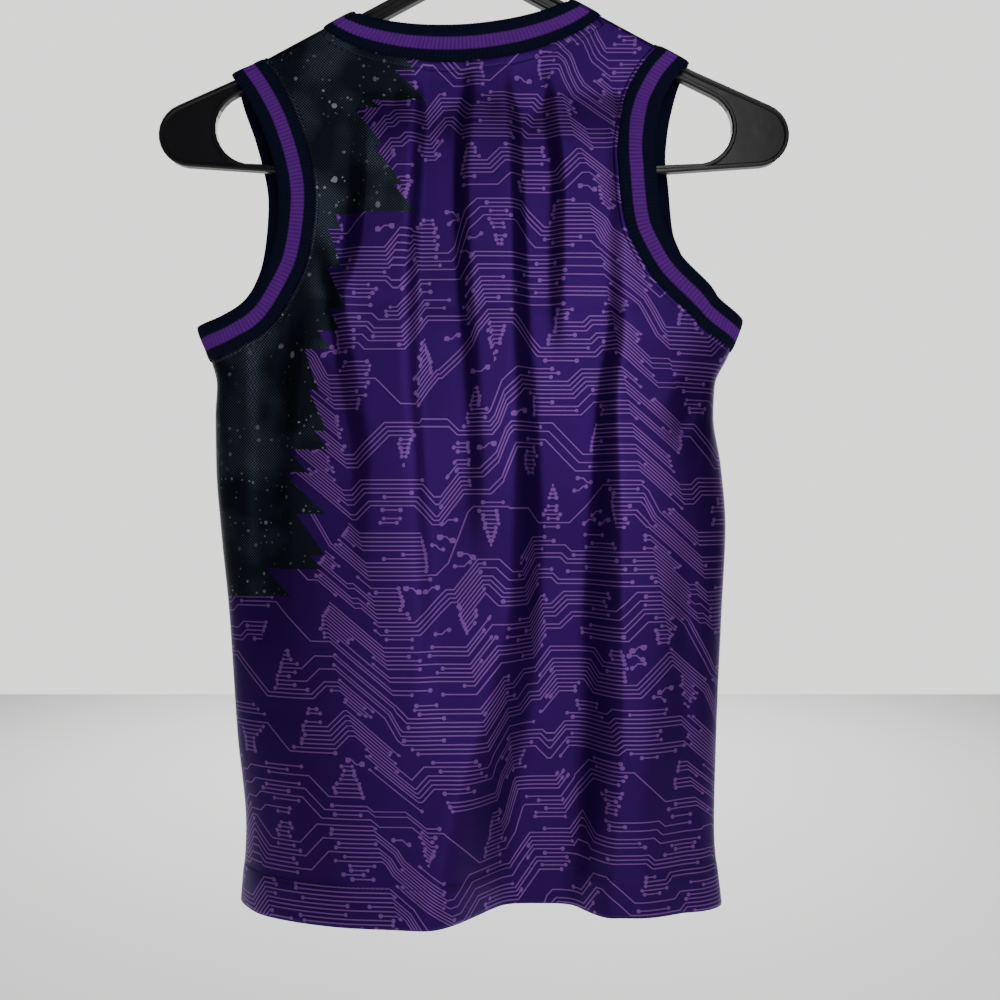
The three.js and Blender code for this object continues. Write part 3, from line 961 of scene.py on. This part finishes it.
# Rib bands: one doubled strip of knit rib round the neck and round each armhole, black with a
# violet stripe along its middle. Its ribs run across the band, and it is sewn to the panels' edge.
RIB_WIDTH = 24
RIB_THICKNESS = 2.0
RIB_TURN = 45
RIB_PITCH = 2.6
RIB_RELIEF = 0.46
STEPS_IN_RIB = 6
ACROSS_BAND = 11
STRIPE_FROM = 7.0
STRIPE_TO = 15.6
RIB_STATIONS = 500
RIB_STITCH = 0.95
STRIPE_DARK = (0.130, 0.0100, 0.290, 1)
STRIPE_LIGHT = (0.165, 0.013, 0.355, 1)
# The colour of the stripe's painted shade in the grooves between the ribs.
STRIPE_GROOVE_SHADE = (0.006, 0.002, 0.026, 1)
RIB_DARK = (0.0012, 0.0025, 0.0170, 1)
RIB_LIGHT = (0.0024, 0.0046, 0.0290, 1)


def armhole_edges(side, arm, share):
    """A band's seam and free edge. Both halves leave the shoulder and the side in one direction."""
    curve = seams[side, arm]
    seam = curve.at(share)
    past_shoulder = smooth(share * curve.length / RIB_TURN)
    past_side = smooth((1 - share) * curve.length / RIB_TURN)
    shared_run = sum((seams[half, arm].run(round(share)) for half in FACING), Vector((0, 0)))
    run = shared_run.normalized().lerp(curve.run(share), min(past_shoulder, past_side))
    run.normalize()
    free = seam + Vector((-run.y, run.x)) * OUTWARDS[arm] * RIB_WIDTH
    on_ridge = ridge(free.x) - (ridge(seam.x) - seam.y)
    free.y = mix(on_ridge, free.y, past_shoulder)
    on_side = side_line[arm](free.y) - (side_line[arm](seam.y) - seam.x)
    free.x = mix(on_side, free.x, past_side)
    return seam, free


def neck_edges(side, share):
    seam = neck_line(NECK_SEAM, side, share)
    free = neck_line(NECK_FREE, side, share)
    on_ridge = ridge(free.x) - (ridge(seam.x) - seam.y)
    free.y = mix(on_ridge, free.y, smooth(share * (1 - share) / 0.035))
    return seam, free


def band_point(edges, side, share, across):
    seam, free = edges(side, share)
    spot = seam.lerp(free, mix(SEAM_GAP / RIB_WIDTH, 1, across))
    return inner_point(side, spot.x, spot.y)


def rib_band(name, edges, clockwise):
    """A closed band, back then front, with its ribs evenly spaced along its middle."""
    shares = [0.5 - 0.5 * math.cos(math.pi * k / RIB_STATIONS) for k in range(RIB_STATIONS + 1)]
    stations = [("back", share) for share in shares] + [("front", share) for share in shares[-2::-1]]
    middle = [band_point(edges, side, share, 0.5) for side, share in stations]
    reach = [0.0]
    for a, b in zip(middle, middle[1:]):
        reach.append(reach[-1] + (b - a).length)
    length = reach[-1]
    count = round(length / RIB_PITCH) * STEPS_IN_RIB
    columns = []
    k = 0
    for n in range(count + 1):
        goal = length * n / count
        while k < len(reach) - 2 and reach[k + 1] < goal:
            k += 1
        t = clamp((goal - reach[k]) / (reach[k + 1] - reach[k]))
        side, after = stations[k + 1]
        columns.append((side, mix(stations[k][1], after, t)))
    rows = [m / ACROSS_BAND for m in range(ACROSS_BAND + 1)]
    points = [[band_point(edges, side, share, across) for side, share in columns] for across in rows]
    rib_step = RIB_PITCH / STEPS_IN_RIB
    flat = [[(n * rib_step * MM, across * RIB_WIDTH * MM) for n in range(count + 1)] for across in rows]
    band = cloth_sheet(points, flat, clockwise)
    band.verts.ensure_lookup_table()
    for vertex in band.verts:
        across = rows[ACROSS_BAND - vertex.index // (count + 1)]
        vertex.co += vertex.normal * rib_height(vertex.index % (count + 1), across)
    bmesh.ops.remove_doubles(band, verts=band.verts, dist=0.02)
    band.normal_update()
    return finished(name, band), length


def rib_height(column_number, across):
    """How far a band stands out here: its ribs, and a little fullness across the band."""
    wave = 0.5 - 0.5 * math.cos(2 * math.pi * column_number / STEPS_IN_RIB)
    ends = smooth(across / 0.08) * smooth((1 - across) / 0.06)
    full = 0.5 * (1 - (2 * across - 1) ** 4)
    return RIB_RELIEF * wave * (0.35 + 0.65 * ends) + full


def rib_knit(name, striped):
    """Knit rib whose stripe has painted shade in the grooves between its ribs. The stripe shows on the
    outside only.
    """
    finish = Finish(name)
    along, across = finish.flat()
    stripe = (across - STRIPE_FROM + 0.5).unit() * (STRIPE_TO - across + 0.5).unit() * striped
    groove = (along * (2 * math.pi / RIB_PITCH) + math.pi / 2).sine() * 0.5 + 0.5
    stitch = (across * (2 * math.pi / RIB_STITCH)).sine() * (along * (4 * math.pi / RIB_PITCH)).sine()
    violet = finish.blend(finish.cloudy(along, across, 0.15), STRIPE_DARK, STRIPE_LIGHT)
    # Painted shade: the stripe's colour darkens towards the grooves between the ribs.
    violet = finish.blend(groove * 0.92, violet, STRIPE_GROOVE_SHADE)
    navy = finish.blend(stitch * 0.5 + 0.5, RIB_DARK, RIB_LIGHT)
    finish.set(
        Base_Color=finish.blend(stripe, navy, violet),
        Roughness=0.86 - stripe * 0.06,
        Normal=finish.relief(stitch - groove * 0.6, 0.00010),
        Specular_IOR_Level=0.2,
    )
    return finish.material


rib_outside = rib_knit("rib knit", 1.0)
rib_inside = rib_knit("rib inside", 0.0)
BANDS = {
    "neck_rib": (neck_edges, True),
    "armhole_rib_left": (lambda side, share: armhole_edges(side, "left", share), False),
    "armhole_rib_right": (lambda side, share: armhole_edges(side, "right", share), True),
}
for node, (edges, clockwise) in BANDS.items():
    piece, length = rib_band(node.replace("rib", "band"), edges, clockwise)
    wall(piece, RIB_THICKNESS)
    piece.data.materials.append(rib_outside)
    piece.data.materials.append(rib_inside)
    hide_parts(node)
    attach(piece, "root")


# Seam allowances: beside the ribs the turned edge of the cloth is sewn down flat, which raises a
# narrow strip of the panel. It is 6 mm wide round the neck and 2.4 mm wide round the armholes.
NECK_ALLOWANCE = 6.0
ARMHOLE_ALLOWANCE = 2.4
ALLOWANCE_HEIGHT = 0.8
ALLOWANCE_SHEET = 0.5
# Pairs of a share of the strip's width and a share of its height.
ALLOWANCE_SHAPE = [
    (0, -0.5),
    (0.04, 0.7),
    (0.16, 0.95),
    (0.4, 1),
    (0.7, 1),
    (0.9, 0.9),
    (0.98, 0.5),
    (1, -0.5),
]
PROBE = 0.4


def surface(side, x, z, lift):
    """A point above the cloth's outer surface, and the direction that the cloth faces there."""
    place = inner_point(side, x, z)
    across = inner_point(side, x + PROBE, z) - inner_point(side, x - PROBE, z)
    upwards = inner_point(side, x, z + PROBE) - inner_point(side, x, z - PROBE)
    normal = across.cross(upwards).normalized() * -FACING[side]
    return place + normal * (CLOTH + lift), normal


def cut_place(side, x, z):
    """Where a point of the hung panel lies on the flat cloth."""
    spot, number, _ = nearest_cut[side].find((x, 0, z))
    u, _ = cut_places[side][number]
    return u + (x - spot.x) * MM, z * MM


def beside_neck(side, share, away):
    """A point of the panel this far below the neck's seam."""
    share = mix(0.012, 0.988, share)
    here = neck_line(NECK_SEAM, side, share)
    run = (neck_line(NECK_SEAM, side, share + 0.004) - here).normalized()
    return here + Vector((run.y, -run.x)) * away


def beside_armhole(side, arm, share, away):
    """A point of the panel this far inside an armhole's seam."""
    share = mix(0.006, 0.99, share)
    run = seams[side, arm].run(share)
    return seams[side, arm].at(share) + Vector((run.y, -run.x)) * OUTWARDS[arm] * away


def allowance(name, side, beside, width, columns):
    """A strip of the panel's cloth beside a seam, sunk into the panel along both edges."""
    rows = [(across * width, lift * ALLOWANCE_HEIGHT - ALLOWANCE_SHEET) for across, lift in ALLOWANCE_SHAPE]
    points, flat = [], []
    for away, lift in rows:
        spots = [beside(k / columns, away) for k in range(columns + 1)]
        points.append([surface(side, spot.x, spot.y, lift)[0] for spot in spots])
        flat.append([cut_place(side, spot.x, spot.y) for spot in spots])
    strip = cloth_sheet(points, flat, False)
    if sum(face.normal.y for face in strip.faces) * FACING[side] < 0:
        bmesh.ops.reverse_faces(strip, faces=strip.faces)
    piece = finished(name, strip)
    wall(piece, ALLOWANCE_SHEET)
    piece.data.materials.append(printed)
    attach(piece, "root")


def seam_line(side, place):
    """The line beside one of a panel's ribs, as a function of its share and the distance away."""
    if place == "neck":
        return lambda share, away: beside_neck(side, share, away)
    return lambda share, away: beside_armhole(side, place, share, away)


RIB_SEAMS = {
    "neck": (NECK_ALLOWANCE, 190),
    "left": (ARMHOLE_ALLOWANCE, 210),
    "right": (ARMHOLE_ALLOWANCE, 210),
}
for side in FACING:
    for place, (width, columns) in RIB_SEAMS.items():
        allowance(f"{side}_allowance_{place}", side, seam_line(side, place), width, columns)


# Stitching: polyester thread in a straight lock stitch, along the seam allowances and at the top of
# the hem. Each stitch is a short rod that dips into the cloth at both ends.
THREAD_RADIUS = 0.21
STITCH_LENGTH = 2.3
STITCH_PITCH = 3.1
STITCH_START = 0.3
HEM_STITCH_LIFT = 0.32
HEM_STITCH_INSET = 1.5
STITCH_SIDES = 6
SEAM_STATIONS = 600
# Distance of each rib's stitches from its seam, and their height over the panel.
RIB_STITCHES = {"neck": (5.3, ALLOWANCE_HEIGHT), "left": (2.75, 0.06), "right": (2.75, 0.06)}
# Rings along a stitch: share of its length, share of the thread's radius, and rise.
STITCH_RINGS = [(0, 0.4, -0.3), (0.2, 1, 0), (0.8, 1, 0), (1, 0.4, -0.3)]
THREAD_COLOUR = (0.034, 0.019, 0.072, 1)


def hem_stitch_line(share):
    """The line along the hem's upper edge, where its turned cloth is sewn down."""
    z = mix(HEM_LEFT, HEM_RIGHT, share) + HEM_HEIGHT
    left, right = (side_line[arm](z) - OUTWARDS[arm] * HEM_STITCH_INSET for arm in OUTWARDS)
    return Vector((mix(left, right, share), z))


def add_stitch(rods, start, end, normal):
    """A six-sided rod with thin, sunken ends."""
    axis = end - start
    beside = axis.cross(normal).normalized()
    rings = []
    for along, radius, rise in STITCH_RINGS:
        middle = start + axis * along + normal * rise * THREAD_RADIUS
        ring = []
        for k in range(STITCH_SIDES):
            turn = 2 * math.pi * k / STITCH_SIDES
            spoke = beside * math.cos(turn) + normal * math.sin(turn)
            ring.append(rods.verts.new(middle + spoke * radius * THREAD_RADIUS))
        rings.append(ring)
    for near, far in zip(rings, rings[1:]):
        for k in range(STITCH_SIDES):
            after = (k + 1) % STITCH_SIDES
            face = rods.faces.new((near[k], near[after], far[after], far[k]))
            face.smooth = True
    rods.faces.new(rings[0][::-1])
    rods.faces.new(rings[-1])


def sew(rods, side, line, lift):
    """Puts stitches along a line given by its share, at an even pitch."""
    places = [line(k / SEAM_STATIONS) for k in range(SEAM_STATIONS + 1)]
    reach = [0.0]
    for a, b in zip(places, places[1:]):
        flat_run = (b - a).length
        deep_run = inner_point(side, b.x, b.y).y - inner_point(side, a.x, a.y).y
        reach.append(reach[-1] + math.hypot(flat_run, deep_run))

    def at(goal):
        k = min(bisect.bisect_right(reach, goal), len(reach) - 1)
        t = (goal - reach[k - 1]) / (reach[k] - reach[k - 1])
        return places[k - 1].lerp(places[k], t)

    for number in range(int(reach[-1] / STITCH_PITCH)):
        first = at(number * STITCH_PITCH + STITCH_START)
        second = at(number * STITCH_PITCH + STITCH_START + STITCH_LENGTH)
        start, normal = surface(side, first.x, first.y, lift)
        end, _ = surface(side, second.x, second.y, lift)
        add_stitch(rods, start, end, normal)


thread = Finish("thread")
thread.set(Base_Color=THREAD_COLOUR, Roughness=0.55, Specular_IOR_Level=0.4)
for side in FACING:
    rods = bmesh.new()
    for place, (away, lift) in RIB_STITCHES.items():
        line = seam_line(side, place)
        sew(rods, side, lambda share: line(share, away), lift)
    sew(rods, side, hem_stitch_line, HEM_STITCH_LIFT)
    bmesh.ops.recalc_face_normals(rods, faces=rods.faces)
    piece = finished(f"{side}_stitches", rods)
    piece.data.materials.append(thread.material)
    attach(piece, "root")


# Hanger: black moulded plastic, glossy, with raised rims round thin webs. The CAD frame and hook
# have the right shape, so they only get the finish.
PLASTIC_BLACK = (0.0065, 0.0065, 0.0075, 1)
RIPPLES_PER_METRE = 60.0


def moulded_plastic():
    """Glossy plastic with the slight waviness of a cheap mould."""
    finish = Finish("moulded plastic")
    place = finish.add("ShaderNodeTexCoord", None, None, 3)
    ripple_values = {"Vector": place, "Scale": RIPPLES_PER_METRE, "Detail": 2.0}
    ripple = finish.add("ShaderNodeTexNoise", None, ripple_values)
    finish.set(
        Base_Color=PLASTIC_BLACK,
        Roughness=0.30 + ripple * 0.12,
        Normal=finish.relief(ripple, 0.0006, 0.35),
        Specular_IOR_Level=0.55,
    )
    return finish.material


plastic = moulded_plastic()
for node in ("hanger_frame", "hanger_hook"):
    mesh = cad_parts[node].data
    mesh.materials.clear()
    mesh.materials.append(plastic)


# Studio: a plain pale floor under the hanging garment, a pale surround and soft lights. The satin
# mirrors what lies in front of it, so the surround lights it dimly from the front and strongly from
# behind, and the camera sees one pale backdrop all round.
FLOOR_HEIGHT = -1.5
FLOOR_HALF_SIDE = 4
FLOOR_COLOUR = (0.80, 0.80, 0.79, 1)
FRONT_LIGHT = (0.060, 0.060, 0.070, 1)
BACK_LIGHT = (1.62, 1.62, 1.59, 1)
BACK_LIGHT_FROM = 0.3
BACK_LIGHT_TO = 0.7

floor_grid = bmesh.new()
bmesh.ops.create_grid(floor_grid, x_segments=1, y_segments=1, size=FLOOR_HALF_SIDE)
bmesh.ops.translate(floor_grid, vec=(0, 0, FLOOR_HEIGHT), verts=floor_grid.verts)
floor_mesh = bpy.data.meshes.new("floor")
floor_grid.to_mesh(floor_mesh)
floor_grid.free()
floor = bpy.data.objects.new("floor", floor_mesh)
bpy.context.scene.collection.objects.link(floor)
pale = Finish("pale floor")
floor_mesh.materials.append(pale.set(Base_Color=FLOOR_COLOUR, Roughness=0.9))

world = bpy.data.worlds.new("surround")
world.use_nodes = True
sky = world.node_tree
surround = sky.nodes["Background"]
direction = sky.nodes.new("ShaderNodeTexCoord")
split = sky.nodes.new("ShaderNodeSeparateXYZ")
backwards = sky.nodes.new("ShaderNodeMapRange")
backwards.interpolation_type = "SMOOTHSTEP"
backwards.inputs["From Min"].default_value = BACK_LIGHT_FROM
backwards.inputs["From Max"].default_value = BACK_LIGHT_TO
light_colour = sky.nodes.new("ShaderNodeMix")
light_colour.data_type = "RGBA"
light_colour.inputs[6].default_value = FRONT_LIGHT
light_colour.inputs[7].default_value = BACK_LIGHT
backdrop = sky.nodes.new("ShaderNodeBackground")
backdrop.inputs["Color"].default_value = BACK_LIGHT
ray = sky.nodes.new("ShaderNodeLightPath")
seen = sky.nodes.new("ShaderNodeMixShader")
for output, socket in (
    (direction.outputs["Generated"], split.inputs[0]),
    (split.outputs["Y"], backwards.inputs["Value"]),
    (backwards.outputs[0], light_colour.inputs[0]),
    (light_colour.outputs[2], surround.inputs["Color"]),
    (ray.outputs["Is Camera Ray"], seen.inputs["Fac"]),
    (surround.outputs[0], seen.inputs[1]),
    (backdrop.outputs[0], seen.inputs[2]),
    (seen.outputs[0], sky.nodes["World Output"].inputs["Surface"]),
):
    sky.links.new(output, socket)
bpy.context.scene.world = world

# Places and sizes are in metres, powers in watts. The key light is a tall soft box just to the right
# of the camera.
LIGHTS = {
    "key": {"place": (0.22, -1.05, -0.12), "aim": (0.02, 0, -0.26), "size": (0.24, 1.3), "power": 5.6},
    "behind": {"place": (0.6, 1.5, 0.6), "aim": (0, 0, -0.4), "size": (1.2, 1.2), "power": 22},
    "far floor": {"place": (0, 3.0, 0.4), "aim": (0, 3.0, -1.5), "size": (4.4, 2.4), "power": 135},
}
for name, light in LIGHTS.items():
    lamp_data = bpy.data.lights.new(name, "AREA")
    lamp_data.shape = "RECTANGLE"
    lamp_data.size, lamp_data.size_y = light["size"]
    lamp_data.energy = light["power"]
    lamp = bpy.data.objects.new(name, lamp_data)
    lamp.location = light["place"]
    facing = Vector(light["aim"]) - Vector(light["place"])
    lamp.rotation_euler = facing.to_track_quat("-Z", "Y").to_euler()
    lamp.visible_camera = False
    bpy.context.scene.collection.objects.link(lamp)
